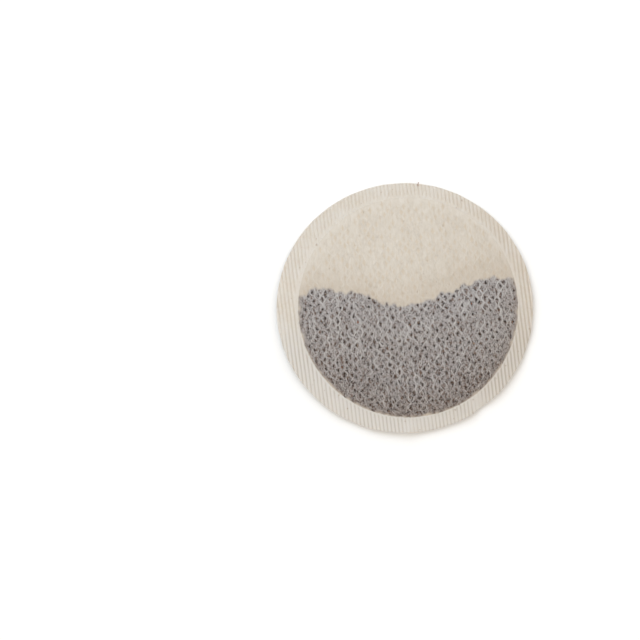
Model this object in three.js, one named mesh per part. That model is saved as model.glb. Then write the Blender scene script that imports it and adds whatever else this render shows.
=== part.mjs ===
// A round tea bag lying flat: two discs of heat-seal filter paper, sealed to each other round the rim, with a
// bed of tea leaf between them that has slumped to one half. Millimetres, +Z up, lying on z = 0.
// +Y points to the bag's empty half and -Y to the half that holds the tea.
import * as THREE from "three";

const { smoothstep, lerp } = THREE.MathUtils;

// ---- driving dimensions ----------------------------------------------------------------------------------

const CUT_HALF_X = 35.3; // half the width of the cut outline, along X
const CUT_HALF_Y = 34.4; // half its length, along Y
const SEAL_RADIUS = 30.2; // inner edge of the heat seal
const SEAL_CENTRE = new THREE.Vector2(0.9, 0.2); // the bags are cut out a little off centre
const PAPER = 0.08; // thickness of one sheet

const SEAM_AT_TEA = 1.9; // height of the seam between the sheets where the tea lifts it
const SEAM_AT_HEAD = 0.12; // height of the seam at the far end of the empty half
const SEAM_LOW_Y = 25; // the seam is down at this Y and beyond
const SEAM_HIGH_Y = -10; // and up at this Y and beyond

const SHOULDER = 10; // width over which the sheets curve in to the seal
const SHOULDER_ROUND = 2.2; // power of that curve: higher is steeper at the seal
const HEAP_ABOVE = 3.7; // how far the tea bulges the top sheet up from the seam
const HEAP_BELOW = 3.0; // how far it would bulge the bottom sheet down, if the table weren't there
const PUFF_ABOVE = 0.6; // how far the sheets stand off the seam where the bag is empty
const PUFF_BELOW = 0.25; // and how far the bottom sheet does
const SLOPE_OUT = 4.5; // the heap's slope runs from this far outside the tea line
const SLOPE_IN = 8.5; // to this far inside it

const TEA_GAP = 0.3; // between the tea and the paper above and below it
const TEA_EDGE_GAP = 0.6; // between the tea and the seal
const TEA_EDGE = 0.5; // least thickness of the tea bed, at its edge
const TEA_MIDDLE_Y = -13.4; // the bed's rings run round this point, below the seal's centre

const TURN_STEPS = 72; // steps round a disc
const SEAL_RINGS = 11; // rings from the middle of a disc to the seal
const RIM_RINGS = 2; // rings across the seal
const TEA_STEPS = 56; // steps round the tea bed
const TEA_RINGS = 7; // rings from the middle of the tea bed to its edge
const TEA_LINE_STEPS = 80; // steps along the tea's free edge
const CLOSE_ENOUGH = 0.01; // how closely the bed's edge is found

// ---- shape of the bag ------------------------------------------------------------------------------------

// The tea's free edge runs across the bag from one side of the seal to the other, low in the middle.
const teaLine = new THREE.SplineCurve([
  new THREE.Vector2(-32, 0.5),
  new THREE.Vector2(-25, 4.6),
  new THREE.Vector2(-14, 3.9),
  new THREE.Vector2(-5, 0.7),
  new THREE.Vector2(4, 1.2),
  new THREE.Vector2(14, 5.2),
  new THREE.Vector2(24, 8.2),
  new THREE.Vector2(34, 7.8),
]).getPoints(TEA_LINE_STEPS);

// Y of the tea's free edge at a given X.
function teaLineAt(x) {
  const next = teaLine.findIndex((point) => point.x > x);
  const [a, b] = [teaLine[next - 1], teaLine[next]];
  return lerp(a.y, b.y, (x - a.x) / (b.x - a.x));
}

// Height of the seam between the two sheets: the tea lifts it, and it comes down towards the empty half.
function seamHeight(y) {
  const lifted = 1 - smoothstep(y, SEAM_HIGH_Y, SEAM_LOW_Y);
  return lerp(SEAM_AT_HEAD, SEAM_AT_TEA, lifted);
}

// How far a sheet stands off the seam: a round shoulder inside the seal, full over the tea, slight elsewhere.
function standOff(x, y, heap, puff) {
  const fromSeal = SEAL_RADIUS - Math.hypot(x - SEAL_CENTRE.x, y - SEAL_CENTRE.y);
  if (fromSeal <= 0) return 0;
  const inward = 1 - Math.min(fromSeal / SHOULDER, 1);
  const shoulder = 1 - inward ** SHOULDER_ROUND;
  const full = smoothstep(teaLineAt(x) - y, -SLOPE_OUT, SLOPE_IN);
  return shoulder * lerp(puff, heap, full);
}

// Underside of the top sheet, and upper side of the bottom sheet, which lies flat on the table where it can.
const topInside = (x, y) => seamHeight(y) + standOff(x, y, HEAP_ABOVE, PUFF_ABOVE);
const bottomInside = (x, y) => Math.max(PAPER, seamHeight(y) - standOff(x, y, HEAP_BELOW, PUFF_BELOW));

// ---- making a piece --------------------------------------------------------------------------------------

// A closed body turned from a profile in [ring, side] pairs, whose vertices are then put in place by a function
// of the ring, the turn in radians and the side.
function turnedBody(profile, steps, place) {
  const points = profile.map(([ring, side]) => new THREE.Vector2(ring, side));
  const geometry = new THREE.LatheGeometry(points, steps);
  const positions = geometry.attributes.position;
  for (let i = 0; i < positions.count; i++) {
    const [a, side, b] = [positions.getX(i), positions.getY(i), positions.getZ(i)];
    const spot = place(Math.hypot(a, b), Math.atan2(a, b), side);
    positions.setXYZ(i, spot.x, spot.y, spot.z);
  }
  geometry.computeVertexNormals();
  return geometry;
}

// Turns every face of a body the other way round.
function flipFaces(geometry) {
  const index = geometry.index;
  for (let i = 0; i < index.count; i += 3) {
    const first = index.getX(i);
    index.setX(i, index.getX(i + 2));
    index.setX(i + 2, first);
  }
  geometry.computeVertexNormals();
}

// The profile of a thin disc: out along its side 0 and back along its side 1.
function discProfile(rings) {
  const out = rings.map((ring) => [ring, 0]);
  const back = rings.map((ring) => [ring, 1]).reverse();
  return [...out, ...back];
}

// Rings from 0 at the middle, closer together towards 1 at the edge.
function innerRings(count) {
  return Array.from({ length: count + 1 }, (_, i) => Math.sin(((i / count) * Math.PI) / 2));
}

// ---- the two sheets --------------------------------------------------------------------------------------

// Place on a sheet, seen from above: ring 0 to 1 runs from the seal's centre to its edge, and 1 to 2 across the
// seal to the cut outline.
function sheetPlace(ring, turn) {
  const [c, s] = [Math.cos(turn), Math.sin(turn)];
  const onSeal = new THREE.Vector2(c, s).multiplyScalar(SEAL_RADIUS * Math.min(ring, 1)).add(SEAL_CENTRE);
  if (ring <= 1) return onSeal;
  const onCut = new THREE.Vector2(CUT_HALF_X * c, CUT_HALF_Y * s);
  return onSeal.lerp(onCut, ring - 1);
}

// A sheet whose side 0 is the one inside the bag, at the height that a function gives. Its thickness goes up from
// there with outward 1 and down with outward -1. Both sheets have the same facets on that side, so that they meet
// face to face in the seal.
function sheet(inside, outward) {
  const rimRings = Array.from({ length: RIM_RINGS }, (_, i) => 1 + (i + 1) / RIM_RINGS);
  const rings = [...innerRings(SEAL_RINGS), ...rimRings];
  const geometry = turnedBody(discProfile(rings), TURN_STEPS, (ring, turn, side) => {
    const { x, y } = sheetPlace(ring, turn);
    return new THREE.Vector3(x, y, inside(x, y) + side * outward * PAPER);
  });
  if (outward < 0) flipFaces(geometry);
  return geometry;
}

function paper(name, geometry) {
  const material = new THREE.MeshStandardMaterial({ color: 0xd8d0c4, roughness: 0.92, metalness: 0 });
  const mesh = new THREE.Mesh(geometry, material);
  mesh.name = name;
  return mesh;
}

const topPaper = () => paper("top_paper", sheet(topInside, 1));
const bottomPaper = () => paper("bottom_paper", sheet(bottomInside, -1));

// ---- the tea ---------------------------------------------------------------------------------------------

// Distance along a turn from the bed's middle to its edge, which is the seal or the tea line, found by halving.
function teaReach(middle, turn) {
  const direction = new THREE.Vector2(Math.cos(turn), Math.sin(turn));
  let [near, far] = [0, 2 * SEAL_RADIUS];
  while (far - near > CLOSE_ENOUGH) {
    const half = (near + far) / 2;
    const point = direction.clone().multiplyScalar(half).add(middle);
    const insideSeal = point.distanceTo(SEAL_CENTRE) < SEAL_RADIUS - TEA_EDGE_GAP;
    if (insideSeal && point.y < teaLineAt(point.x) - TEA_GAP) near = half;
    else far = half;
  }
  return near;
}

// The tea fills the sealed pocket below the tea line.
function teaFill() {
  const middle = new THREE.Vector2(SEAL_CENTRE.x, TEA_MIDDLE_Y);
  const geometry = turnedBody(discProfile(innerRings(TEA_RINGS)), TEA_STEPS, (ring, turn, side) => {
    const distance = ring * teaReach(middle, turn);
    const x = middle.x + distance * Math.cos(turn);
    const y = middle.y + distance * Math.sin(turn);
    const centre = (topInside(x, y) + bottomInside(x, y)) / 2;
    const top = Math.max(topInside(x, y) - TEA_GAP, centre + TEA_EDGE / 2);
    const bottom = Math.min(bottomInside(x, y) + TEA_GAP, centre - TEA_EDGE / 2);
    return new THREE.Vector3(x, y, side === 1 ? top : bottom);
  });
  const material = new THREE.MeshStandardMaterial({ color: 0x33231b, roughness: 0.85, metalness: 0 });
  const mesh = new THREE.Mesh(geometry, material);
  mesh.name = "tea_fill";
  return mesh;
}

const teaBag = new THREE.Group();
teaBag.add(bottomPaper(), topPaper(), teaFill());

export default teaBag;
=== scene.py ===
# A round tea bag lying flat. Lengths are in millimetres until a mesh, a light or the camera is made.
import math

import bpy
import numpy as np
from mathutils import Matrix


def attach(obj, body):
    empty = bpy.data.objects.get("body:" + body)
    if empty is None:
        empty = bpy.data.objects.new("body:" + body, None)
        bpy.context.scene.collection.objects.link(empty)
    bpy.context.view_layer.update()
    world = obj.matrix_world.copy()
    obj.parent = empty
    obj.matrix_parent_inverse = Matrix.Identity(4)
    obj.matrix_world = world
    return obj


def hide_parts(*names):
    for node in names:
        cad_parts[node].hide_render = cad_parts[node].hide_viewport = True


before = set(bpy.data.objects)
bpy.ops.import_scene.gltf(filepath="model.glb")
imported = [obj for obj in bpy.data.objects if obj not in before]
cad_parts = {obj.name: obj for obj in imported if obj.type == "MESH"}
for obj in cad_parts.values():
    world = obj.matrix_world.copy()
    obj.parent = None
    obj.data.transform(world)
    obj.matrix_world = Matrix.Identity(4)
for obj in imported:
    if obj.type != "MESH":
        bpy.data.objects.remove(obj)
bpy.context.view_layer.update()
MM = 0.001


# ---- Tea leaf ----------------------------------------
# Broken black leaf in grains of about 1 mm, dry and loose, which has slumped to one half of the bag. It is
# modelled as grains against each sheet, with a rough bed between them.

SEAL_RADIUS = 30.2  # inner edge of the heat seal
SEAL_CENTRE = np.array([0.9, 0.2])  # the bag is cut out a little off the seal's centre
SEAM_AT_TEA, SEAM_AT_HEAD = 1.9, 0.12  # height of the seam, at the tea and at the empty end
SEAM_LOW_Y, SEAM_HIGH_Y = 25.0, -10.0  # it is down beyond the first Y, and up beyond the second
SHOULDER, SHOULDER_ROUND = 10.0, 2.2  # width and power of the sheets' curve in to the seal
HEAP_ABOVE, HEAP_BELOW = 3.7, 3.0  # how far the tea bulges the two sheets away from the seam
PUFF_ABOVE, PUFF_BELOW = 0.6, 0.25  # how far they stand off it where the bag is empty
SLOPE_OUT, SLOPE_IN = 4.5, 8.5  # the heap slopes from this far outside the tea line to this far inside it
LUMPS_OVER_TEA = [(0.16, 6.5), (0.10, 2.7), (0.05, 1.25)]  # height and spacing of each size of lump
LUMPS_OVER_EMPTY = [(0.10, 9.0), (0.02, 2.5)]
PUCKER_HEIGHT = 0.09
PUCKERS, FINE_PUCKERS = 31, 53  # waves in a whole turn
PUCKER_RISE, PUCKER_FALL = 1.2, 4.0  # widths over which they rise from the seal and then die away
SHEET = 0.06  # thickness of one sheet
LIES_AT = 0.17  # height of the bottom sheet's upper side on the table
LIES_SOFTLY = 0.06  # how gradually it comes down to that height
NOISE_TABLE = 64  # lattice steps after which the noise repeats
NOISE_SHIFT = 64 * NOISE_TABLE + 0.5  # keeps places on the lattice positive
TOP_LUMPS_SEED, BOTTOM_LUMPS_SEED = 21, 31

TEA_LINE_RAGGED = 0.35
TEA_LINE = np.array([
    (-31.5, 0.2), (-29.0, 2.7), (-26.0, 4.4), (-17.0, 3.8), (-11.0, 3.2), (-6.5, 0.7),
    (-1.0, 0.2), (5.0, 1.2), (14.0, 4.6), (19.0, 6.8), (25.0, 7.8), (33.0, 7.6),
])


def ease(t):
    """The smooth step 3t^2 - 2t^3, with t held between 0 and 1."""
    t = np.clip(t, 0.0, 1.0)
    return t * t * (3.0 - 2.0 * t)


def soft_noise(x, y, grain, seed):
    """Smooth noise from -1 to 1: random values on a square lattice of spacing grain, eased in between."""
    table = np.random.default_rng(seed).uniform(-1.0, 1.0, (NOISE_TABLE, NOISE_TABLE))
    u, v = x / grain + NOISE_SHIFT, y / grain + NOISE_SHIFT
    i, j = np.floor(u).astype(int), np.floor(v).astype(int)
    a, b = ease(u - i), ease(v - j)
    i, j = i % NOISE_TABLE, j % NOISE_TABLE
    next_i, next_j = (i + 1) % NOISE_TABLE, (j + 1) % NOISE_TABLE
    low = table[i, j] * (1 - a) + table[next_i, j] * a
    high = table[i, next_j] * (1 - a) + table[next_i, next_j] * a
    return low * (1 - b) + high * b


def tea_line(x):
    """Y of the tea's free edge at x: a slightly ragged cubic Hermite curve through TEA_LINE, whose slope at
    each point comes from the points on either side."""
    xs, ys = TEA_LINE.T
    slopes = np.gradient(ys, xs)
    i = np.clip(np.searchsorted(xs, x) - 1, 0, len(xs) - 2)
    step = xs[i + 1] - xs[i]
    t = np.clip((x - xs[i]) / step, 0.0, 1.0)
    blend = ease(t)
    bend = t * (1 - t) * step * ((1 - t) * slopes[i] - t * slopes[i + 1])
    ragged = TEA_LINE_RAGGED * soft_noise(x, 0 * x, grain=2.3, seed=11)
    return ys[i] * (1 - blend) + ys[i + 1] * blend + bend + ragged


def from_seal(x, y):
    """Distance inwards from the inner edge of the seal."""
    return SEAL_RADIUS - np.hypot(x - SEAL_CENTRE[0], y - SEAL_CENTRE[1])


def fullness(x, y):
    """1 over the tea and 0 over the empty half, eased across the tea line."""
    return ease((tea_line(x) - y + SLOPE_OUT) / (SLOPE_OUT + SLOPE_IN))


def seam(x, y):
    """Height of the seam: the tea lifts it, and it comes down in an eased curve towards the empty half."""
    lifted = ease((SEAM_LOW_Y - y) / (SEAM_LOW_Y - SEAM_HIGH_Y))
    return SEAM_AT_HEAD + (SEAM_AT_TEA - SEAM_AT_HEAD) * lifted


def shoulder(x, y):
    """0 at the seal to 1 inside it: 1 less a power of the distance left to the shoulder's inner edge."""
    left = np.clip(1.0 - from_seal(x, y) / SHOULDER, 0.0, 1.0)
    return 1.0 - left**SHOULDER_ROUND


def lumps(x, y, seed):
    """How a sheet bulges here and there: noise in three sizes over the leaf, and in two elsewhere."""
    def layered(sizes, first):
        return sum(height * soft_noise(x, y, grain, first + k) for k, (height, grain) in enumerate(sizes))

    full = fullness(x, y)
    over_tea = layered(LUMPS_OVER_TEA, seed)
    over_empty = layered(LUMPS_OVER_EMPTY, seed + len(LUMPS_OVER_TEA))
    return shoulder(x, y) * (full * over_tea + (1 - full) * over_empty)


def puckers(x, y):
    """Short radial folds in a sheet where it leaves the seal over the tea: uneven waves round the seal, and
    finer ones half as high."""
    turn = np.arctan2(y - SEAL_CENTRE[1], x - SEAL_CENTRE[0])
    inside = from_seal(x, y)
    swell = ease(inside / PUCKER_RISE) * (1 - ease((inside - PUCKER_RISE) / PUCKER_FALL)) * fullness(x, y)
    waves = np.sin(PUCKERS * turn + 2.0 * np.sin(5 * turn)) + 0.5 * np.sin(FINE_PUCKERS * turn + 1.0)
    return PUCKER_HEIGHT * swell * waves


def top_inside(x, y):
    """Underside of the top sheet: the seam, the heap or the puff above it, and the lumps and puckers."""
    heap = PUFF_ABOVE + (HEAP_ABOVE - PUFF_ABOVE) * fullness(x, y)
    return seam(x, y) + shoulder(x, y) * heap + lumps(x, y, TOP_LUMPS_SEED) + puckers(x, y)


def bottom_inside(x, y):
    """Upper side of the bottom sheet: like the top one but downwards, flattened where it lies on the table,
    and pressed down by the top sheet next to the seal at the empty end."""
    heap = PUFF_BELOW + (HEAP_BELOW - PUFF_BELOW) * fullness(x, y)
    hang = seam(x, y) - shoulder(x, y) * heap + lumps(x, y, BOTTOM_LUMPS_SEED) - puckers(x, y)
    lying = LIES_AT + np.logaddexp(0.0, (hang - LIES_AT) / LIES_SOFTLY) * LIES_SOFTLY
    return np.minimum(lying, top_inside(x, y))


def new_piece(name, points, faces, material, smooth=True):
    """A mesh object at the origin from points in millimetres and faces as rows of vertex numbers. Given a
    list of materials, the caller sets which face has which."""
    mesh = bpy.data.meshes.new(name)
    sides = faces.shape[1]
    mesh.vertices.add(len(points))
    mesh.vertices.foreach_set("co", (np.asarray(points) * MM).astype(np.float32).ravel())
    mesh.loops.add(faces.size)
    mesh.loops.foreach_set("vertex_index", faces.astype(np.int32).ravel())
    mesh.polygons.add(len(faces))
    mesh.polygons.foreach_set("loop_start", np.arange(0, faces.size, sides, dtype=np.int32))
    mesh.polygons.foreach_set("use_smooth", np.full(len(faces), smooth))
    mesh.update(calc_edges=True)
    mesh.validate()
    piece = bpy.data.objects.new(name, mesh)
    bpy.context.collection.objects.link(piece)
    for each in material if isinstance(material, list) else [material]:
        mesh.materials.append(each)
    return piece


def linear(red, green, blue):
    """A colour given as 0 to 255 on a screen, as the linear RGBA that shaders take."""
    c = np.array([red, green, blue]) / 255.0
    c = np.where(c <= 0.04045, c / 12.92, ((c + 0.055) / 1.055) ** 2.4)
    return (*[float(v) for v in c], 1.0)


def plain_shader(name, colour, roughness):
    """A material with one Principled shader, and that shader's node."""
    material = bpy.data.materials.new(name)
    material.use_nodes = True
    shader = material.node_tree.nodes["Principled BSDF"]
    shader.inputs["Base Color"].default_value = colour
    shader.inputs["Roughness"].default_value = roughness
    shader.inputs["Specular IOR Level"].default_value = 0.25
    return material, shader


def shader_nodes(material):
    """Short makers for a material's nodes: any node, a mix of two colours, a noise read from Object places,
    an eased ramp from one range to another, and a vertex attribute's value."""
    tree = material.node_tree
    links = tree.links

    def node(kind, inputs=(), **settings):
        made = tree.nodes.new(kind)
        for key, value in settings.items():
            setattr(made, key, value)
        for key, value in dict(inputs).items():
            if isinstance(value, bpy.types.NodeSocket):
                links.new(value, made.inputs[key])
            else:
                made.inputs[key].default_value = value
        return made

    def mix(factor, a, b):
        return node("ShaderNodeMix", {0: factor, 6: a, 7: b}, data_type="RGBA").outputs[2]

    def noise(scale, stretch=(1, 1, 1), turn=0.0, detail=3.0, roughness=0.6):
        places = node("ShaderNodeTexCoord").outputs["Object"]
        turning = {"Vector": places, "Rotation": (0, 0, turn), "Scale": stretch}
        mapped = node("ShaderNodeMapping", turning, vector_type="TEXTURE").outputs[0]
        grains = {"Vector": mapped, "Scale": scale, "Detail": detail, "Roughness": roughness}
        return node("ShaderNodeTexNoise", grains).outputs["Fac"]

    def ramp(value, low, high, to_low=0.0, to_high=1.0):
        ends = {"Value": value, "From Min": low, "From Max": high, "To Min": to_low, "To Max": to_high}
        return node("ShaderNodeMapRange", ends, interpolation_type="SMOOTHSTEP").outputs["Result"]

    def attribute(name):
        return node("ShaderNodeAttribute", attribute_name=name).outputs["Fac"]

    return node, mix, noise, ramp, attribute


def grained(name, colour, roughness, scale, depth):
    """A material of one colour, broken up by noise in its roughness and as a bump, depth mm deep."""
    material, shader = plain_shader(name, colour, roughness)
    node, _, noise, ramp, _ = shader_nodes(material)
    grain = noise(scale)
    links = material.node_tree.links
    links.new(ramp(grain, 0.25, 0.75, roughness - 0.12, roughness + 0.04), shader.inputs["Roughness"])
    bump = node("ShaderNodeBump", {"Height": grain, "Strength": 0.5, "Distance": depth * MM})
    links.new(bump.outputs[0], shader.inputs["Normal"])
    return material


LEAF_GRAIN = 2500.0  # scale of the noise on the leaf
leaf_materials = [
    grained("leaf_black", linear(66, 55, 51), 0.72, LEAF_GRAIN, 0.06),
    grained("leaf_brown", linear(97, 76, 64), 0.75, LEAF_GRAIN, 0.06),
    grained("leaf_grey", linear(124, 110, 101), 0.8, LEAF_GRAIN, 0.06),
    grained("leaf_stem", linear(168, 132, 95), 0.8, LEAF_GRAIN, 0.04),
    grained("leaf_red", linear(148, 90, 66), 0.75, LEAF_GRAIN, 0.04),
]
LEAF_SHARES = [0.50, 0.31, 0.135, 0.03, 0.025]  # each one's share of the grains

GRAIN_SIZE = (0.55, 1.15)
GRAIN_FLATNESS = 0.45  # a grain's thickness as a share of its size
GRAIN_LENGTH, GRAIN_WIDTH, GRAIN_THICKNESS = (0.8, 1.5), (0.5, 0.95), (0.6, 1.2)  # their random spreads
CORNERS_PULLED = (0.65, 1.2)
GRAIN_TIPPED = 0.35  # how far grains tip from lying flat, in radians


def crumbs(rng, places, size):
    """One rough icosahedron for each place: its twelve corners pulled in and out at random, stretched to a
    grain's length, width and thickness, and turned at random, mostly lying flat."""
    golden = (1 + math.sqrt(5)) / 2
    corners = np.array([
        (-1, golden, 0), (1, golden, 0), (-1, -golden, 0), (1, -golden, 0),
        (0, -1, golden), (0, 1, golden), (0, -1, -golden), (0, 1, -golden),
        (golden, 0, -1), (golden, 0, 1), (-golden, 0, -1), (-golden, 0, 1),
    ]) / math.hypot(1, golden)
    triangles = np.array([
        (0, 11, 5), (0, 5, 1), (0, 1, 7), (0, 7, 10), (0, 10, 11), (1, 5, 9), (5, 11, 4), (11, 10, 2),
        (10, 7, 6), (7, 1, 8), (3, 9, 4), (3, 4, 2), (3, 2, 6), (3, 6, 8), (3, 8, 9), (4, 9, 5),
        (2, 4, 11), (6, 2, 10), (8, 6, 7), (9, 8, 1),
    ])
    count = len(places)
    shape = corners[None] * rng.uniform(*CORNERS_PULLED, (count, len(corners), 1))
    stretch = np.stack([
        size * rng.uniform(*GRAIN_LENGTH, count),
        size * rng.uniform(*GRAIN_WIDTH, count),
        size * GRAIN_FLATNESS * rng.uniform(*GRAIN_THICKNESS, count),
    ], axis=1) / 2
    shape = shape * stretch[:, None, :]
    tip, turn = rng.normal(0, GRAIN_TIPPED, count), rng.uniform(0, 2 * np.pi, count)
    x, y, z = shape[..., 0], shape[..., 1], shape[..., 2]
    c, s = np.cos(tip)[:, None], np.sin(tip)[:, None]
    x, z = x * c - z * s, x * s + z * c
    c, s = np.cos(turn)[:, None], np.sin(turn)[:, None]
    x, y = x * c - y * s, x * s + y * c
    points = np.stack([x, y, z], axis=-1) + places[:, None, :]
    faces = triangles[None] + len(corners) * np.arange(count)[:, None, None]
    return points.reshape(-1, 3), faces.reshape(-1, 3)


LINE_RAGGED = 0.7  # how far the line of grains wanders from the tea line
LOOSE_SHARE, LOOSE_REACH = 0.035, 1.5  # a few grains lie loose, up to this far past that line
SEAL_GAP, SEAL_GAP_LEAST = 0.22, 0.12  # a grain's gap to the seal before chance adds to it, and the least


def leaf_spots(rng, spacing):
    """Places for grains in the tea: a grid shaken at random, kept inside the seal and below the tea line.
    Both edges are uneven, and a few loose grains lie past the line."""
    span = np.arange(-SEAL_RADIUS - 1, SEAL_RADIUS + 1, spacing)
    x, y = np.meshgrid(span + SEAL_CENTRE[0], span + SEAL_CENTRE[1])
    x = x.ravel() + rng.uniform(-0.5, 0.5, x.size) * spacing
    y = y.ravel() + rng.uniform(-0.5, 0.5, y.size) * spacing
    past_line = y - tea_line(x) + LINE_RAGGED * soft_noise(x, y, grain=1.4, seed=45)
    crowd = ease((0.7 - past_line) / 1.6) + LOOSE_SHARE * (past_line < LOOSE_REACH)
    gap = SEAL_GAP + 0.24 * soft_noise(x, y, grain=1.5, seed=46) + rng.exponential(0.14, x.size)
    kept = (from_seal(x, y) > np.maximum(gap, SEAL_GAP_LEAST)) & (rng.random(x.size) < crowd)
    return x[kept], y[kept]


LAYER_DEPTHS = (0.24, 0.62)  # depth of the two layers of grains under a sheet
DEPTH_SPREAD = (-0.08, 0.14)
DEPTH_LEAST = 0.12  # depth of a grain where the sheets leave no room


def leaf_layer(name, seed, spacing, inside, into_bag):
    """Two layers of grains against one sheet, the second deeper in the bag. Gives back their places,
    the nearer layer first."""
    rng = np.random.default_rng(seed)
    places = []
    for depth in LAYER_DEPTHS:
        x, y = leaf_spots(rng, spacing)
        room = (top_inside(x, y) - bottom_inside(x, y)) / 2 - 0.1
        down = np.minimum(depth + rng.uniform(*DEPTH_SPREAD, x.size), np.maximum(room, DEPTH_LEAST))
        places.append(np.stack([x, y, inside(x, y) + into_bag * down], axis=1))
    places = np.concatenate(places)
    points, faces = crumbs(rng, places, rng.uniform(*GRAIN_SIZE, len(places)))
    x, y, z = points.T
    middle = (top_inside(x, y) + bottom_inside(x, y)) / 2
    room = np.maximum(top_inside(x, y) - middle - 0.02, 0.02)
    points[:, 2] = np.clip(z, middle - room, middle + room)
    piece = new_piece(name, points, faces, leaf_materials, smooth=False)
    kinds = rng.choice(len(leaf_materials), len(places), p=LEAF_SHARES).repeat(len(faces) // len(places))
    piece.data.polygons.foreach_set("material_index", kinds.astype(np.int32))
    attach(piece, "root")
    return places


leaf_top_places = leaf_layer("leaf_against_top", 41, 0.80, top_inside, -1)
leaf_bottom_places = leaf_layer("leaf_against_bottom", 42, 0.90, bottom_inside, 1)

BED_TURNS, BED_RINGS = 168, 40
BED_MIDDLE = np.array([1.1, -12.5])  # the bed's rings run round this point
BED_FROM_SEAL, BED_FROM_LINE = 1.0, 1.5  # its edge's gaps to the seal and to the tea line
BED_DEPTH = 0.55  # how far its faces lie from the sheets
BED_EDGE = 0.06  # least distance of its faces from its middle height
HALVINGS = 14


def tea_reach(turn):
    """How far the bed goes from its middle along each turn, found by halving between inside and outside."""
    near, far = np.zeros_like(turn), np.full_like(turn, 2 * SEAL_RADIUS)
    for _ in range(HALVINGS):
        half = (near + far) / 2
        x, y = BED_MIDDLE[0] + half * np.cos(turn), BED_MIDDLE[1] + half * np.sin(turn)
        inside = (from_seal(x, y) > BED_FROM_SEAL) & (y < tea_line(x) - BED_FROM_LINE)
        near, far = np.where(inside, half, near), np.where(inside, far, half)
    return near


def tea_bed():
    """A closed rough lens: rings from the middle to the tea's edge, above and below, each at its sheet's
    height less the depth of the grains."""
    ring = np.sin(np.linspace(0, np.pi / 2, BED_RINGS + 1))[1:]
    turn = np.arange(BED_TURNS) * 2 * np.pi / BED_TURNS
    reach = tea_reach(turn)
    x = BED_MIDDLE[0] + ring[:, None] * (reach * np.cos(turn))[None]
    y = BED_MIDDLE[1] + ring[:, None] * (reach * np.sin(turn))[None]
    x, y = np.append(x.ravel(), BED_MIDDLE[0]), np.append(y.ravel(), BED_MIDDLE[1])
    rough = 0.14 * soft_noise(x, y, grain=0.8, seed=51) + 0.08 * soft_noise(x, y, grain=1.9, seed=52)
    centre = (top_inside(x, y) + bottom_inside(x, y)) / 2
    top = np.maximum(top_inside(x, y) - BED_DEPTH + rough, centre + BED_EDGE)
    bottom = np.minimum(bottom_inside(x, y) + BED_DEPTH - rough, centre - BED_EDGE)
    points = np.concatenate([np.stack([x, y, top], 1), np.stack([x, y, bottom], 1)])
    side = len(x)
    ring, j = np.meshgrid(np.arange(BED_RINGS - 1), np.arange(BED_TURNS), indexing="ij")
    ring, j = ring.ravel(), j.ravel()
    near, far = ring * BED_TURNS, (ring + 1) * BED_TURNS
    k = (j + 1) % BED_TURNS
    upper = np.stack([near + j, far + j, far + k, near + k], 1)
    lower = upper[:, ::-1] + side
    j = np.arange(BED_TURNS)
    k = (j + 1) % BED_TURNS
    last = (BED_RINGS - 1) * BED_TURNS
    wall = np.stack([last + j, side + last + j, side + last + k, last + k], 1)
    cap_above = np.stack([np.full(BED_TURNS, side - 1), j, k], 1)
    cap_below = np.stack([np.full(BED_TURNS, 2 * side - 1), side + k, side + j], 1)
    quads = np.concatenate([upper, lower, wall])
    faces = np.concatenate([quads[:, [0, 1, 2]], quads[:, [0, 2, 3]], cap_above, cap_below])
    return points, faces


bed_points, bed_faces = tea_bed()
bed = new_piece("tea_bed", bed_points, bed_faces, leaf_materials[0])
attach(bed, "root")
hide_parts("tea_fill")


# ---- The two sheets inside the seal ------------------
# Heat-seal filter paper of about 17 g per square metre. Water jets have washed its fibres off the points of
# a lattice, so each sheet is a net of diamonds, open or thin in the middle and thick along its lines.

LATTICE_TURN = math.radians(7.1)  # lean of the ribs and of the net's columns
CELL = np.array([2.33, 2.50])  # the net's cell, across and along the ribs
CELL_STEPS = 8  # steps of a sheet's grid across a cell
HALF_CELL = CELL_STEPS // 2
SITE_TABLE = 128  # sites after which the openings' random numbers repeat
SITE_SHIFT = (0.94, 1.02)  # how widely the openings' places are spread, across and along the ribs
NET_RELIEF, HOLLOW = 0.05, 0.05  # height of the net's lines, and depth of the dip round an opening
WASHED_FROM = 0.9  # the net starts this far inside the seal
OPEN_FROM, LEAF_NEEDED = 0.46, 0.55  # least openness of a hole, and least leaf behind it
TUCK, TUCK_START = 0.25, 0.1  # a sheet ends this far past the seal's edge, sinking from this far inside
MAP_STEP, MAP_HALF = 0.2, 176  # step of the maps of leaf, and their steps each way from the origin
UV_WIDTH = 72
EDGE_SHADE, EDGE_SHADE_REACH = 0.32, 0.7
DUST_AND_SHADE_REACH = 6.0  # how far past the tea line the dust and its painted shade have fallen to about a third


def turned(u, v):
    """From the lattice's own axes, across and along the ribs, to the bag's X and Y."""
    c, s = math.cos(LATTICE_TURN), math.sin(LATTICE_TURN)
    return u * c - v * s, u * s + v * c


def unturned(x, y):
    """From the bag's X and Y to the lattice's own axes."""
    c, s = math.cos(LATTICE_TURN), math.sin(LATTICE_TURN)
    return x * c + y * s, y * c - x * s


def nearest_site(u, v):
    """The site that each point belongs to, and the point's offset from it, both in half cells. Sites are
    where openings may be, at the corners and the middle of each cell, so their diamonds tile the sheet."""
    a, b = 2 * u / CELL[0], 2 * v / CELL[1]
    corner = np.stack([2 * np.round(a / 2), 2 * np.round(b / 2)])
    middle = np.stack([2 * np.floor(a / 2) + 1, 2 * np.floor(b / 2) + 1])
    to_corner = np.abs(a - corner[0]) + np.abs(b - corner[1])
    site = np.where(to_corner <= 1.0 + 1e-9, corner, middle)
    return site.astype(int), np.stack([a, b]) - site


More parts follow.
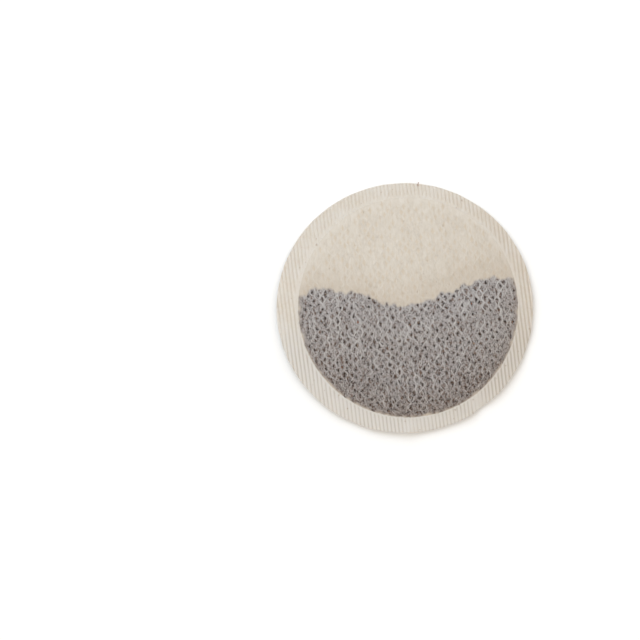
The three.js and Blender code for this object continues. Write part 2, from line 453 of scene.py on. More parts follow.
def site_values(site, seed, count):
    """Random numbers from 0 to 1 that belong to an opening: count of them for each site."""
    table = np.random.default_rng(seed).random((count, SITE_TABLE, SITE_TABLE))
    return table[:, site[0] % SITE_TABLE, site[1] % SITE_TABLE]


def site_shift(site, seed):
    """How far each opening has moved off its lattice point, across and along the ribs."""
    _, _, across, along = site_values(site, seed + 1, 4)
    return SITE_SHIFT[0] * (across - 0.5), SITE_SHIFT[1] * (along - 0.5)


def openness(site, seed):
    """How open each site is, from 0 to 1: most are partly open, some wide and some nearly covered."""
    chance, patch = site_values(site, seed, 2)
    spread = 0.5 + 0.5 * soft_noise(site[0] * 1.0, site[1] * 1.0, 4.0, seed + 5)
    return np.clip(0.12 + 0.62 * chance + 0.22 * chance * patch + 0.16 * (spread - 0.5), 0.05, 1.0)


def net_height(x, y):
    """The net's own relief: raised along the lines between openings and sunk towards each opening."""
    site, offset = nearest_site(*unturned(x - SEAL_CENTRE[0], y - SEAL_CENTRE[1]))
    towards_line = np.clip(np.abs(offset[0]) + np.abs(offset[1]), 0.0, 1.0)
    calm = 0.35 + 0.65 * fullness(x, y)
    return NET_RELIEF * calm * (2 * ease(towards_line) - 1) * ease(from_seal(x, y) / 1.5)


def sheet_mesh(seed, inside, outward, leaf_map):
    """One sheet as a grid along the lattice's axes, with a thin place at each site.

    The eight vertices round a site are moved onto a lens shape, each by its own random amount. The faces
    inside them are left out if the site is open enough and leaf lies behind it. Every vertex of a diamond
    also shifts with its site, less towards the diamond's edge. Past the seal the grid is drawn in to a
    circle that lies inside the rim. With the mesh comes how thin the paper is at each vertex."""
    step = CELL / CELL_STEPS
    reach = SEAL_RADIUS + TUCK
    half = np.ceil((reach + 2) / step).astype(int)
    i, j = np.meshgrid(np.arange(-half[0], half[0] + 1), np.arange(-half[1], half[1] + 1), indexing="ij")
    shape = i.shape
    u, v = i * step[0], j * step[1]
    site, offset = nearest_site(u, v)
    a, b = np.rint(offset[0] * HALF_CELL).astype(int), np.rint(offset[1] * HALF_CELL).astype(int)
    opened = openness(site, seed)
    spread, slant, _, _ = site_values(site, seed + 1, 4)
    shift_u, shift_v = site_shift(site, seed)
    site_x, site_y = turned(site[0] * CELL[0] / 2, site[1] * CELL[1] / 2)
    site_x, site_y = site_x + SEAL_CENTRE[0], site_y + SEAL_CENTRE[1]
    washed = from_seal(site_x, site_y) > WASHED_FROM
    behind = read_map(leaf_map, site_x, site_y)
    may_open = washed & (behind > LEAF_NEEDED) & (opened > OPEN_FROM)
    width = (0.14 + 0.56 * opened) * (0.8 + 0.4 * spread)
    length = (0.26 + 0.80 * opened) * (0.8 + 0.4 * (1 - spread))
    # the lens that the ring of eight vertices makes
    ring = np.maximum(np.abs(a), np.abs(b))
    wobble = np.random.default_rng(seed + 2).uniform(0.65, 1.3, shape)
    corner = np.where(np.abs(a) + np.abs(b) == 2, 0.60, 1.0) * wobble
    lens_u = np.sign(a) * corner * width / 2
    lens_v = np.sign(b) * corner * length / 2 + 0.25 * (slant - 0.5) * np.sign(a) * width
    on_ring = (ring == 1) & washed
    u = np.where(on_ring, site[0] * CELL[0] / 2 + lens_u, u)
    v = np.where(on_ring, site[1] * CELL[1] / 2 + lens_v, v)
    shift = np.clip(1.15 * (1.0 - np.abs(offset[0]) - np.abs(offset[1])), 0.0, 1.0)
    u = u + shift_u * shift
    v = v + shift_v * shift
    x, y = turned(u, v)
    x, y = x + SEAL_CENTRE[0], y + SEAL_CENTRE[1]
    away = np.hypot(x - SEAL_CENTRE[0], y - SEAL_CENTRE[1])
    kept = away < reach + 0.75 * step.max()
    draw_in = np.minimum(away, reach) / np.maximum(away, 1e-9)
    x = SEAL_CENTRE[0] + (x - SEAL_CENTRE[0]) * draw_in
    y = SEAL_CENTRE[1] + (y - SEAL_CENTRE[1]) * draw_in
    relief = net_height(x, y)
    hollow = np.clip(1.0 - np.hypot(offset[0], offset[1]) / 0.6, 0.0, 1.0) * washed
    sunk = HOLLOW * (0.3 + 0.7 * fullness(x, y)) * hollow
    tucked = SHEET / 2 * ease((TUCK_START - from_seal(x, y)) / TUCK)
    z = inside(x, y) + outward * (SHEET / 2 + relief - sunk - tucked)
    # faces, without the four round each open site
    number = np.arange(i.size).reshape(shape)
    hub = (ring == 0) & may_open
    corners = [number[:-1, :-1], number[1:, :-1], number[1:, 1:], number[:-1, 1:]]
    quads = np.stack(corners, -1).reshape(-1, 4)
    whole = kept.ravel()[quads].all(1) & ~hub.ravel()[quads].any(1)
    quads = quads[whole] if outward > 0 else quads[whole][:, ::-1]
    used, faces = np.unique(quads, return_inverse=True)
    faces = faces.reshape(-1, 4)
    points = np.stack([x.ravel(), y.ravel(), z.ravel()], 1)[used]
    towards_line = 1.3 * np.abs(offset[0]) + 0.8 * np.abs(offset[1])
    bare = 0.25 + 0.75 * site_values(site, seed + 3, 1)[0]
    thin = ((1.0 - ease((towards_line - 0.40) / 0.55)) * bare * washed).ravel()[used]
    return points, faces, thin


def blurred_map(places, radius, amount):
    """How much leaf lies behind each spot of a square map, from 0 to 1: each grain is a soft round spot,
    and where they crowd the map goes to 1."""
    total = np.zeros((2 * MAP_HALF + 1, 2 * MAP_HALF + 1))
    i, j = (np.rint(places[:, axis] / MAP_STEP).astype(int) + MAP_HALF for axis in (0, 1))
    np.add.at(total, (i, j), 1.0)
    reach = int(3 * radius / MAP_STEP)
    line = np.exp(-0.5 * (np.arange(-reach, reach + 1) * MAP_STEP / radius) ** 2)
    for axis in (0, 1):
        total = np.apply_along_axis(np.convolve, axis, total, line, mode="same")
    return 1.0 - np.exp(-amount * total)


def read_map(values, x, y):
    """The map's value at each x and y, blended between its four nearest steps."""
    u, v = (np.clip(place / MAP_STEP + MAP_HALF, 0, 2 * MAP_HALF - 1e-6) for place in (x, y))
    i, j = np.floor(u).astype(int), np.floor(v).astype(int)
    a, b = u - i, v - j
    low = values[i, j] * (1 - a) + values[i + 1, j] * a
    high = values[i, j + 1] * (1 - a) + values[i + 1, j + 1] * a
    return low * (1 - b) + high * b


def low_y_darkening(y):
    """How much darker the paper over the leaf is made, growing towards -Y."""
    return ease((-6.0 - y) / 18.0)


def dust_and_painted_shade(x, y):
    """Tea dust on the paper, most up to the tea line and less past it, with painted shade on top: the tea's
    shadow seen through the paper near the line, and a little more towards +X.
    """
    return np.exp(-np.maximum(y - tea_line(x), 0.0) / DUST_AND_SHADE_REACH) + 0.22 * ease((x + 12.0) / 40.0)


def add_attribute(piece, name, values):
    """Stores one number for each vertex, which the material reads by name."""
    piece.data.attributes.new(name, "FLOAT", "POINT").data.foreach_set("value", values.astype(np.float32))


def map_from_above(piece):
    """A UV map that is the piece seen from above."""
    mesh = piece.data
    corner = np.empty(len(mesh.loops), np.int32)
    mesh.loops.foreach_get("vertex_index", corner)
    places = np.empty(3 * len(mesh.vertices), np.float32)
    mesh.vertices.foreach_get("co", places)
    seen = places.reshape(-1, 3)[corner, :2] / (UV_WIDTH * MM) + 0.5
    mesh.uv_layers.new(name="OFBake").uv.foreach_set("vector", seen.ravel())


PAPER_CREAM = linear(209, 202, 191)
PAPER_TAN = linear(204, 194, 182)
PAPER_FLECK = linear(198, 182, 160)
PAPER_DUST_AND_SHADE = linear(180, 165, 148)
PAPER_STREAK = linear(219, 213, 205)
# painted greys for the paper over dark leaf, standing in for the light that the leaf behind takes away
VEIL_PALE = linear(161, 156, 154)
VEIL_DARK = linear(66, 58, 56)
VEIL_BROWN = linear(102, 80, 68)
SPECK_BROWN = linear(146, 106, 74)


def paper_material(name):
    """Matte filter paper: cream over the empty half, with fine streaks along the ribs and a few
    bran-coloured specks.
    Painted on it: grey where dark leaf lies behind it and darker, browner where it is thin, for the light
    lost through the paper into the bag, and tan from tea dust and painted shade near the tea line and
    towards +X."""
    material, shader = plain_shader(name, PAPER_CREAM, 0.95)
    node, mix, noise, ramp, attribute = shader_nodes(material)
    veil, touch, dust, thin, edge = map(attribute, ("veil", "touch", "dust", "thin", "edge"))

    def times_plus(value, factor, more=0.0):
        return node("ShaderNodeMath", {0: value, 1: factor, 2: more}, operation="MULTIPLY_ADD").outputs[0]

    streaks = noise(2000.0, (1.0, 3.8, 1.0), LATTICE_TURN)
    clouds = noise(130.0)
    grit = noise(1750.0, (1.0, 1.9, 1.0), LATTICE_TURN, 3.0, 0.8)
    cream = mix(ramp(clouds, 0.3, 0.75, 0.0, 0.4), PAPER_CREAM, PAPER_TAN)
    cream = mix(ramp(streaks, 0.4, 0.72, 0.0, 0.7), cream, PAPER_STREAK)
    # thin places show tan: painted shade of the bag's inside seen through them
    cream = mix(ramp(thin, 0.1, 0.9, 0.0, 0.55), cream, PAPER_FLECK)
    # tan from tea dust and painted shade, near the tea line and towards +X
    cream = mix(ramp(dust, 0.0, 1.0, 0.0, 0.55), cream, PAPER_DUST_AND_SHADE)
    # painted: how dark the leaf shows through the paper, more where the paper is thin or touches it, less
    # under streaks and grit
    shown = times_plus(touch, 0.35, times_plus(thin, 0.40))
    shown = times_plus(streaks, -0.5, shown)
    shown = times_plus(grit, -2.7, shown)
    shown = times_plus(noise(2900.0, detail=1.0), -2.1, shown)
    behind = mix(ramp(noise(1100.0), 0.42, 0.62), VEIL_DARK, VEIL_BROWN)
    grey = mix(ramp(shown, -2.69, -1.85), VEIL_PALE, behind)
    grey = mix(edge, grey, VEIL_BROWN)
    cover = times_plus(times_plus(thin, 0.55, 0.70), veil)
    colour = mix(ramp(cover, 0.04, 0.60), cream, grey)
    specks = noise(1500.0, detail=0.0)
    colour = mix(ramp(specks, 0.86, 0.90, 0.0, 0.3), colour, SPECK_BROWN)
    material.node_tree.links.new(colour, shader.inputs["Base Color"])
    bump = node("ShaderNodeBump", {"Height": streaks, "Strength": 0.25, "Distance": 0.04 * MM})
    material.node_tree.links.new(bump.outputs[0], shader.inputs["Normal"])
    return material


paper = paper_material("filter_paper")


def sheet_piece(name, seed, inside, outward, places, node):
    """A sheet with its thickness, and the leaf behind it painted on as if seen through it."""
    leaf_map = blurred_map(places, radius=0.46, amount=0.55)
    points, faces, thin = sheet_mesh(seed, inside, outward, leaf_map)
    piece = new_piece(name, points, faces, paper)
    edge_of_corner = np.empty(len(piece.data.loops), np.int32)
    piece.data.loops.foreach_get("edge_index", edge_of_corner)
    cut_edges = np.bincount(edge_of_corner, minlength=len(piece.data.edges)) == 1
    piece.data.edges.foreach_set("use_edge_sharp", cut_edges)
    x, y = points[:, 0], points[:, 1]
    nearest = places[: len(places) // 2]  # very nearly the nearer layer
    add_attribute(piece, "veil", read_map(leaf_map, x, y))
    touching = blurred_map(nearest, radius=0.24, amount=1.2)
    add_attribute(piece, "touch", read_map(touching, x, y) + 0.5 * low_y_darkening(y))
    add_attribute(piece, "dust", dust_and_painted_shade(x, y))
    add_attribute(piece, "thin", thin)
    shade = EDGE_SHADE * np.exp(-np.maximum(from_seal(x, y), 0.0) / EDGE_SHADE_REACH)
    add_attribute(piece, "edge", shade)
    map_from_above(piece)
    thickness = piece.modifiers.new("sheet_thickness", "SOLIDIFY")
    thickness.thickness = SHEET * MM
    thickness.offset = 0.0
    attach(piece, "root")
    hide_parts(node)


TOP_SEED, BOTTOM_SEED = 71, 61
sheet_piece("bottom_sheet", BOTTOM_SEED, bottom_inside, -1, leaf_bottom_places, "bottom_paper")
sheet_piece("top_sheet", TOP_SEED, top_inside, 1, leaf_top_places, "top_paper")


# ---- Sealed rim --------------------------------------
# The two sheets, fused by heat between ribbed rollers, so the ribs run straight across the whole bag. The
# disc is then cut out a little off the seal's centre, which leaves the rim wider on one side.

CUT_HALF = np.array([35.3, 34.4])  # half the width and half the length of the cut outline
RIB_PITCH, RIB_HEIGHT = 1.03, 0.075
RIM_THICK = 0.14
RIM_DROOP, RIM_CURL = 0.6, 0.55  # how far the cut edge hangs down, and how far it turns up on one side
RIM_LAP = 0.06  # share of the rim's width by which its inner edge laps over the sheets
RIM_LIP = 0.004  # half the thickness of that edge
RIM_CLEAR = 0.01  # least gap between the rim and the table
RIM_TURNS, RIM_STEPS = 1120, 26
CREASES = np.radians([272.0, 307.0])  # where two creases cross the rim
CREASE_DEPTH = np.array([0.06, 0.14])  # how far each dents the outline
CREASE_WIDE = np.radians([2.6, 3.6])


def creased(turn):
    """How strongly a crease runs through each turn: a bell for each crease, as rows."""
    apart = np.angle(np.exp(1j * (turn[None] - CREASES[:, None])))
    return np.exp(-((apart / CREASE_WIDE[:, None]) ** 2))


def rim_height(x, y, across, turn):
    """Height of the rim's middle: the seam, waves, droop and curl that grow towards the cut edge, a rise at
    one crease and a dip at the other, and ribs, which fade at the inner edge and at the creases. With it
    comes how deep in a groove each place is."""
    across = np.maximum(across, 0.0)
    slack = ease((SEAM_LOW_Y - y) / (SEAM_LOW_Y - SEAM_HIGH_Y))
    wave = 0.16 * np.sin(7 * turn + 0.7) + 0.11 * np.sin(12 * turn + 2.1) + 0.06 * np.sin(23 * turn)
    bells = creased(turn[0])[:, None, :]
    lift = (0.7 * bells[0] - 0.9 * bells[1]) * 0.45
    u, _ = unturned(x, y)
    u = u + 0.05 * soft_noise(x, y, grain=5.0, seed=81)
    rib = np.cos(2 * np.pi * u / RIB_PITCH)
    # the ribs are pressed deepest on the right, which also deepens the painted shade in their grooves
    pressed = 0.71 + 0.10 * np.cos(turn + 0.4) + 0.09 * np.cos(2 * turn + 0.3)
    depth = pressed + 0.12 * soft_noise(x, y, grain=4.0, seed=82)
    fade_in = 0.30 - 0.16 * fullness(x, y)
    fade = ease(across / fade_in) * (1 - 0.10 * bells[0] - 0.45 * bells[1])
    droop = RIM_DROOP * across**1.5 * (0.35 + 0.65 * ease(0.5 + 0.6 * np.cos(turn + 0.6)))
    strength = depth * fade
    curl = RIM_CURL * np.exp(-(((turn - 0.45) / 0.4) ** 2)) * across**1.2
    height = seam(x, y) + curl + slack * (across**1.4 * (wave + lift) - droop) + RIB_HEIGHT * strength * rib
    return height, strength * (0.5 - 0.5 * rib)


def rim_mesh():
    """A closed ring: steps from just inside the seal to the cut outline along the upper side, and back
    along the lower side, carried round the bag. The outline is an ellipse with small waves and the creases'
    dents. With the mesh comes how deep in a groove, and how near the inner edge, each vertex is."""
    turn = np.arange(RIM_TURNS) * 2 * np.pi / RIM_TURNS
    inner = SEAL_CENTRE[:, None] + SEAL_RADIUS * np.stack([np.cos(turn), np.sin(turn)])
    ragged = 0.05 * soft_noise(35 * np.cos(turn), 35 * np.sin(turn), grain=2.2, seed=83)
    scallops = 0.05 * np.sin(17 * turn + 1.0) * ease((np.sin(-turn) - 0.3) / 0.5)
    dents = (CREASE_DEPTH[:, None] * creased(turn)).sum(0)
    outer = (CUT_HALF[:, None] + ragged + scallops - dents) * np.stack([np.cos(turn), np.sin(turn)])
    across = np.linspace(-RIM_LAP, 1.0, RIM_STEPS)
    x = inner[0] + across[:, None] * (outer[0] - inner[0])
    y = inner[1] + across[:, None] * (outer[1] - inner[1])
    every_turn = np.broadcast_to(turn, x.shape)
    middle, groove = rim_height(x, y, across[:, None], every_turn)
    swell = 0.78 * ease((across + RIM_LAP) / 0.08) + 0.22 * ease(across / 0.3)
    half = (RIM_LIP + (RIM_THICK / 2 - RIM_LIP) * swell)[:, None]
    middle = np.maximum(middle, half + RIM_CLEAR)
    upper = np.stack([x, y, middle + half], -1)
    lower = np.stack([x, y, middle - half], -1)[::-1]
    loop = np.concatenate([upper, lower])
    points = loop.transpose(1, 0, 2).reshape(-1, 3)
    size = 2 * RIM_STEPS
    i, j = np.meshgrid(np.arange(RIM_TURNS), np.arange(size), indexing="ij")
    i, j = i.ravel(), j.ravel()
    next_i, next_j = (i + 1) % RIM_TURNS, (j + 1) % size
    faces = np.stack([i * size + j, i * size + next_j, next_i * size + next_j, next_i * size + j], 1)
    inner_edge = np.broadcast_to(1.0 - ease(across / 0.45)[:, None], x.shape)
    both_sides = [np.concatenate([value, value[::-1]]).T.ravel() for value in (groove, inner_edge)]
    return points, faces, *both_sides


RIM_PALE = linear(221, 217, 211)
RIM_WARM = linear(217, 211, 202)
RIM_GROOVE_SHADE = linear(186, 171, 152)
RIM_GREY = linear(216, 213, 209)
RIM_GREY_GROOVE_SHADE = linear(184, 176, 166)


def rim_material():
    """Fused paper, smoother and paler than the open sheets, greyer on the tea's side, with bran-coloured
    specks. Painted shade lies warm in the grooves and darkens it towards +X."""
    material, shader = plain_shader("sealed_paper", RIM_PALE, 0.85)
    shader.inputs["Subsurface Weight"].default_value = 1.0
    shader.inputs["Subsurface Radius"].default_value = (1.0, 0.95, 0.88)
    shader.inputs["Subsurface Scale"].default_value = 0.15 * MM
    node, mix, noise, ramp, attribute = shader_nodes(material)
    inner, groove, greyed, shaded = map(attribute, ("inner", "groove", "greyed", "shaded"))
    clouds = noise(220.0)
    fine = noise(2600.0, (1.0, 2.5, 1.0), LATTICE_TURN)
    colour = mix(ramp(clouds, 0.35, 0.7), RIM_PALE, RIM_WARM)
    colour = mix(ramp(fine, 0.3, 0.75, 0.0, 0.3), colour, PAPER_STREAK)
    mottle = noise(1900.0, (1.0, 1.6, 1.0), LATTICE_TURN, 3.0, 0.7)
    colour = mix(ramp(mottle, 0.40, 0.68, 0.0, 0.2), colour, PAPER_FLECK)
    colour = mix(ramp(inner, 0.0, 1.0, 0.0, 0.35), colour, PAPER_STREAK)
    # painted shade in the grooves, deeper where the ribs are pressed deeper
    colour = mix(ramp(groove, 0.2, 1.0, 0.0, 0.62), colour, RIM_GROOVE_SHADE)
    grey = mix(ramp(groove, 0.2, 1.0), RIM_GREY, RIM_GREY_GROOVE_SHADE)
    colour = mix(ramp(greyed, 0.0, 1.0, 0.0, 0.8), colour, grey)
    # painted shade: darker towards +X
    colour = mix(shaded, colour, PAPER_DUST_AND_SHADE)
    specks = noise(1300.0, detail=0.0)
    colour = mix(ramp(specks, 0.81, 0.86, 0.0, 0.4), colour, SPECK_BROWN)
    material.node_tree.links.new(colour, shader.inputs["Base Color"])
    bump = node("ShaderNodeBump", {"Height": fine, "Strength": 0.2, "Distance": 0.03 * MM})
    material.node_tree.links.new(bump.outputs[0], shader.inputs["Normal"])
    return material


GREYED_FROM, GREYED_WIDTH = 6.0, 24.0  # it gets greyer from this Y down, over this width
SHADED, SHADED_FROM, SHADED_WIDTH = 0.18, 5.0, 30.0  # and darker by this much from this X, over this width: painted shade

rim_points, rim_faces, rim_groove, rim_inner = rim_mesh()
rim_x, rim_y, _ = rim_points.T
rim = new_piece("sealed_rim", rim_points, rim_faces, rim_material())
add_attribute(rim, "groove", rim_groove)
add_attribute(rim, "inner", rim_inner * (1 - fullness(rim_x, rim_y)))
add_attribute(rim, "greyed", ease((GREYED_FROM - rim_y) / GREYED_WIDTH))
add_attribute(rim, "shaded", SHADED * ease((rim_x - SHADED_FROM) / SHADED_WIDTH))
map_from_above(rim)
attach(rim, "root")


# ---- Fibres ------------------------------------------
# Single long plant fibres and small bundles of them on the outside of each sheet. Some are the net's own
# lines and the rest run mostly along the ribs, as the paper was made. All bend round the openings.

FIBRE_POINTS = 9
FIBRE_STOP, FIBRE_TAIL = 0.1, 0.6  # fibres end this far inside the seal, drawn in over this width
FIBRE_SUNK = 0.012  # depth of their edges in the sheet
FIBRE_LIFT = 0.03  # the most that a fibre is raised from there
FIBRE_RIDGE = 0.008
FIBRE_GRAIN = 6000.0
# the last three shades are painted greyer for the leaf behind the paper
FIBRE_SHADES = {
    "fibre_cream": (214, 207, 197),
    "fibre_dust_and_shade": (204, 195, 182),
    "fibre_half_veiled": (192, 183, 172),
    "fibre_over_leaf": (154, 149, 148),
    "fibre_over_leaf_pale": (196, 193, 191),
}
fibre_materials = [
    grained(name, linear(*shade), 0.95, FIBRE_GRAIN, 0.01) for name, shade in FIBRE_SHADES.items()
]
VEILED, HALF_VEILED = 0.6, 0.25  # how much leaf lies behind a fibre that takes one of the last three shades


def clear_of_openings(rng, u, v, seed, strength):
    """Moves each point of each path straight away from the middle of its nearest opening, most where it is
    close. Near the seal the points are drawn in, by an exponential that never reaches it."""
    site, _ = nearest_site(u, v)
    shift_u, shift_v = site_shift(site, seed)
    du, dv = u - site[0] * CELL[0] / 2 - shift_u, v - site[1] * CELL[1] / 2 - shift_v
    near = np.hypot(du, dv) + 1e-6
    clear = (0.26 + 0.40 * openness(site, seed)) * np.exp(-((near / 0.62) ** 2))
    push = strength * clear * rng.uniform(0.7, 1.2, u.shape[1])
    x, y = turned(u + du / near * push, v + dv / near * push)
    away = np.maximum(np.hypot(x, y), 1e-6)
    free = SEAL_RADIUS - FIBRE_STOP - FIBRE_TAIL
    tail = FIBRE_TAIL * (1.0 - np.exp(-np.maximum(away - free, 0.0) / FIBRE_TAIL))
    drawn_in = (np.minimum(away, free) + tail) / away
    return x * drawn_in + SEAL_CENTRE[0], y * drawn_in + SEAL_CENTRE[1]


def loose_paths(rng, count, length, spread, seed):
    """Paths laid at random: steps of equal length in a direction near the ribs' own, which turns slowly."""
    start = rng.uniform(-1, 1, (2, 3 * count)) * SEAL_RADIUS
    start = start[:, np.hypot(*start) < SEAL_RADIUS - 0.6][:, :count]
    count = start.shape[1]
    length = rng.uniform(*length, count)
    heading = LATTICE_TURN + np.pi / 2 + rng.normal(0, spread, count) + np.pi * rng.integers(0, 2, count)
    bend = rng.normal(0, 0.22, count)
    along = np.arange(FIBRE_POINTS) / (FIBRE_POINTS - 1) - 0.5
    angle = heading + bend * along[:, None] * length + 0.25 * np.sin(along[:, None] * 9 + heading * 7)
    step = length / (FIBRE_POINTS - 1)
    x = start[0] + np.cumsum(np.cos(angle) * step, axis=0) - 0.5 * length * np.cos(heading)
    y = start[1] + np.cumsum(np.sin(angle) * step, axis=0) - 0.5 * length * np.sin(heading)
    kept = np.hypot(x, y).max(0) < SEAL_RADIUS + 0.3
    return clear_of_openings(rng, *unturned(x[:, kept], y[:, kept]), seed, 0.7)


def net_paths(rng, count, seed):
    """Paths along the net's own lines: from a corner where four diamonds meet, each goes up the sheet by
    four corners, mostly left and right in turn, and is rounded off as a quadratic B-spline."""
    steps = (FIBRE_POINTS - 1) // 2
    rows, columns = int(2 * SEAL_RADIUS / CELL[1]), int(SEAL_RADIUS / CELL[0])
    row = rng.integers(-rows, rows + 1, count)
    column = 2 * rng.integers(-columns, columns + 1, count) + 1 + row % 2
    weave = np.cumprod(rng.choice([-1, 1], (steps, count), p=[0.8, 0.2]), axis=0)
    sideways = np.concatenate([np.zeros((1, count)), np.cumsum(weave, axis=0)]) * rng.choice([-1, 1], count)
    u = (column + 0.8 * sideways) * CELL[0] / 2 + rng.normal(0, 0.20, sideways.shape)
    v = (row + np.arange(-(steps // 2), steps - steps // 2 + 1)[:, None]) * CELL[1] / 2
    v = v + rng.normal(0, 0.22, v.shape) + rng.uniform(-0.3, 0.3, count)
    kept = np.hypot(u, v).max(0) < SEAL_RADIUS - 0.2
    corners = np.stack([u, v])[:, :, kept]
    path = np.empty((2, FIBRE_POINTS, corners.shape[2]))
    path[:, 0], path[:, -1] = corners[:, 0], corners[:, -1]
    path[:, 1::2] = (corners[:, :-1] + corners[:, 1:]) / 2
    path[:, 2:-1:2] = (corners[:, :-2] + 6 * corners[:, 1:-1] + corners[:, 2:]) / 8
    return clear_of_openings(rng, path[0], path[1], seed, 1.0)


def fibre_mesh(rng, x, y, width, surface, outward):
    """Thin three-sided rods with closed ends along the paths: two edges by the sheet's face, and a ridge."""
    count = x.shape[1]
    wide = rng.uniform(*width, count)
    taper = np.sin(np.linspace(0.25, np.pi - 0.25, FIBRE_POINTS))[:, None] ** 0.5
    dx, dy = np.gradient(x, axis=0), np.gradient(y, axis=0)
    size = np.hypot(dx, dy) + 1e-9
    nx, ny = -dy / size * wide * taper / 2, dx / size * wide * taper / 2
    lift = rng.uniform(0.0, FIBRE_LIFT, count)
    ridge = FIBRE_RIDGE + 0.12 * wide * taper
    edges = [(x + nx, y + ny, -FIBRE_SUNK), (x - nx, y - ny, -FIBRE_SUNK), (x, y, ridge)]
    points = np.stack([
        np.stack([px, py, surface(px, py) + outward * (lift + above)], -1) for px, py, above in edges
    ], axis=2)
    points = points.transpose(1, 0, 2, 3).reshape(-1, 3)
    f, k, e = np.meshgrid(np.arange(count), np.arange(FIBRE_POINTS - 1), np.arange(3), indexing="ij")
    base = (f * FIBRE_POINTS + k) * 3
    next_e = (e + 1) % 3
    quads = np.stack([base + e, base + next_e, base + 3 + next_e, base + 3 + e], -1).reshape(-1, 4)
    first = np.arange(count) * FIBRE_POINTS * 3
    last = first + (FIBRE_POINTS - 1) * 3
    ends = np.concatenate([
        np.stack([first + 2, first + 1, first], 1), np.stack([last, last + 1, last + 2], 1),
    ])
    faces = np.concatenate([quads[:, [0, 1, 2]], quads[:, [0, 2, 3]], ends])
    return points, faces if outward < 0 else faces[:, ::-1]


def fibre_piece(name, rng, paths, width, inside, outward, places):
    """Fibres on one sheet. Each face is painted with the shade that the leaf behind it gives it, for the
    light lost through the paper, or with the dust and painted shade; each fibre is a little quicker or
    slower than the next to change its shade."""
    def surface(x, y):
        return inside(x, y) + outward * (SHEET + net_height(x, y))

    points, faces = fibre_mesh(rng, *paths, width, surface, outward)
    piece = new_piece(name, points, faces, fibre_materials, smooth=False)
    middle = points[faces].mean(1)
    fibre = faces[:, 0] // (3 * FIBRE_POINTS)
    count = fibre.max() + 1
    veil = read_map(blurred_map(places, radius=0.42, amount=1.3), middle[:, 0], middle[:, 1])
    veil = veil + rng.uniform(-0.12, 0.12, count)[fibre]
    part = rng.random(faces.max() // 3 + 1)[faces[:, 0] // 3]
    chance = 0.6 * rng.random(count)[fibre] + 0.4 * part
    pale = chance < 0.58 - 0.2 * low_y_darkening(middle[:, 1])
    dust = chance < dust_and_painted_shade(middle[:, 0], middle[:, 1])
    shade = np.where(veil > VEILED, 3 + pale, np.where(veil > HALF_VEILED, 2, dust))
    piece.data.polygons.foreach_set("material_index", shade.astype(np.int32))
    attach(piece, "root")


rng = np.random.default_rng(91)
fine = loose_paths(rng, 2600, (1.2, 3.0), 0.8, TOP_SEED)
fibre_piece("fibres_top_fine", rng, fine, (0.035, 0.065), top_inside, 1, leaf_top_places)
in_net, loose = net_paths(rng, 1400, TOP_SEED), loose_paths(rng, 1100, (1.6, 4.0), 0.45, TOP_SEED)
bundles = np.concatenate([in_net, loose], axis=2)
fibre_piece("fibres_top_bundles", rng, bundles, (0.055, 0.14), top_inside, 1, leaf_top_places)
in_net, loose = net_paths(rng, 1600, BOTTOM_SEED), loose_paths(rng, 900, (1.8, 4.0), 0.6, BOTTOM_SEED)
under = np.concatenate([in_net, loose], axis=2)
fibre_piece("fibres_bottom", rng, under, (0.06, 0.15), bottom_inside, -1, leaf_bottom_places)


# ---- Stray stem --------------------------------------
# One short woody end of fibre, which the cutter left standing off the rim at the empty end. Its root is in
# the rim.

STEM_AT = (3.6, 34.0)
STEM_RINGS, STEM_SIDES = 7, 6
STEM_THICK = 0.16  # its radius at the root
stem_run = np.linspace(0.0, 1.0, STEM_RINGS)
stem_turn = np.arange(STEM_SIDES) * 2 * np.pi / STEM_SIDES
stem_thick = STEM_THICK * (1 - 0.3 * stem_run)
stem_x = STEM_AT[0] + 0.25 * stem_run**2
stem_y = STEM_AT[1] - 0.35 + 1.0 * stem_run
stem_z = 0.28 + 0.35 * stem_run
stem_points = np.stack([
    stem_x[:, None] + stem_thick[:, None] * np.cos(stem_turn),
    stem_y[:, None] + 0 * stem_turn,
    stem_z[:, None] + stem_thick[:, None] * np.sin(stem_turn),
], -1).reshape(-1, 3)
stem_ring, stem_side = np.meshgrid(np.arange(STEM_RINGS - 1), np.arange(STEM_SIDES), indexing="ij")
stem_ring, stem_side = stem_ring.ravel() * STEM_SIDES, stem_side.ravel()
stem_next = (stem_side + 1) % STEM_SIDES
stem_corners = [stem_side, STEM_SIDES + stem_side, STEM_SIDES + stem_next, stem_next]
stem_quads = stem_ring[:, None] + np.stack(stem_corners, 1)
stem_fan = np.arange(1, STEM_SIDES - 1)
stem_root = np.stack([0 * stem_fan, stem_fan, stem_fan + 1], 1)
stem_tip = (STEM_RINGS - 1) * STEM_SIDES + stem_root[:, [0, 2, 1]]
stem_faces = np.concatenate([stem_quads[:, [0, 1, 2]], stem_quads[:, [0, 2, 3]], stem_root, stem_tip])
stem_tan = grained("stem_tan", linear(180, 156, 142), 0.8, 3000.0, 0.04)
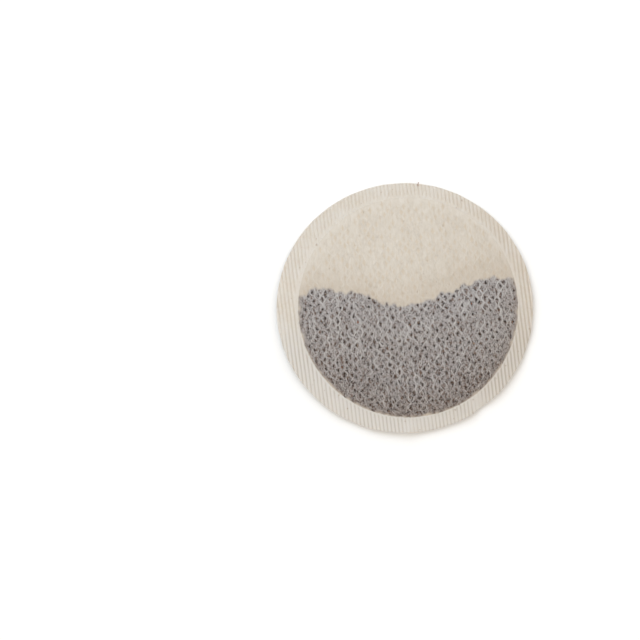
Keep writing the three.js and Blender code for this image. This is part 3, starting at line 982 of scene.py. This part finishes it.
stem = new_piece("stray_stem", stem_points, stem_faces, stem_tan)
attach(stem, "root")


# ---- Floor, light and camera -------------------------
# A plain white table under one large soft lamp up to the left, with pale light from all round. The camera
# looks straight down.

TABLE_HALF = 900.0
floor_points = TABLE_HALF * np.array([(-1, -1, 0), (1, -1, 0), (1, 1, 0), (-1, 1, 0)])
table_white = grained("table_white", linear(252, 252, 252), 0.9, 300.0, 0.01)
floor = new_piece("floor", floor_points, np.array([(0, 1, 2, 3)]), table_white)

ROOM_COLOUR, ROOM_STRENGTH = (1.0, 0.94, 0.86, 1.0), 0.95
LAMP_COLOUR = (0.62, 0.80, 1.0)

world = bpy.data.worlds.new("pale_room")
world.use_nodes = True
room_light = world.node_tree.nodes["Background"].inputs
room_light["Color"].default_value = ROOM_COLOUR
room_light["Strength"].default_value = ROOM_STRENGTH
bpy.context.scene.world = world
bpy.context.scene.view_settings.view_transform = "Standard"


def soft_lamp(name, place, size, power):
    """A square area lamp at a place in metres, turned towards the bag."""
    data = bpy.data.lights.new(name, "AREA")
    data.size = size
    data.energy = power
    data.color = LAMP_COLOUR
    lamp = bpy.data.objects.new(name, data)
    bpy.context.collection.objects.link(lamp)
    x, y, z = place
    lamp.location = place
    lamp.rotation_euler = (math.atan2(math.hypot(x, y), z), 0.0, math.atan2(x, -y))


soft_lamp("key_up_left", (-1.0, 1.8, 1.9), 2.4, 35.0)

FRAME_WIDTH = 176.4  # width of the view at the table
CAMERA_HEIGHT = 1200.0
BAG_FROM_MIDDLE = (23.34, 3.31)  # the bag's place from the middle of the view
camera_data = bpy.data.cameras.new("camera")
camera_data.sensor_width = 36.0
camera_data.lens = camera_data.sensor_width * CAMERA_HEIGHT / FRAME_WIDTH
camera_data.clip_end = 20.0
camera = bpy.data.objects.new("camera", camera_data)
bpy.context.collection.objects.link(camera)
camera.location = (-BAG_FROM_MIDDLE[0] * MM, -BAG_FROM_MIDDLE[1] * MM, CAMERA_HEIGHT * MM)
bpy.context.scene.camera = camera
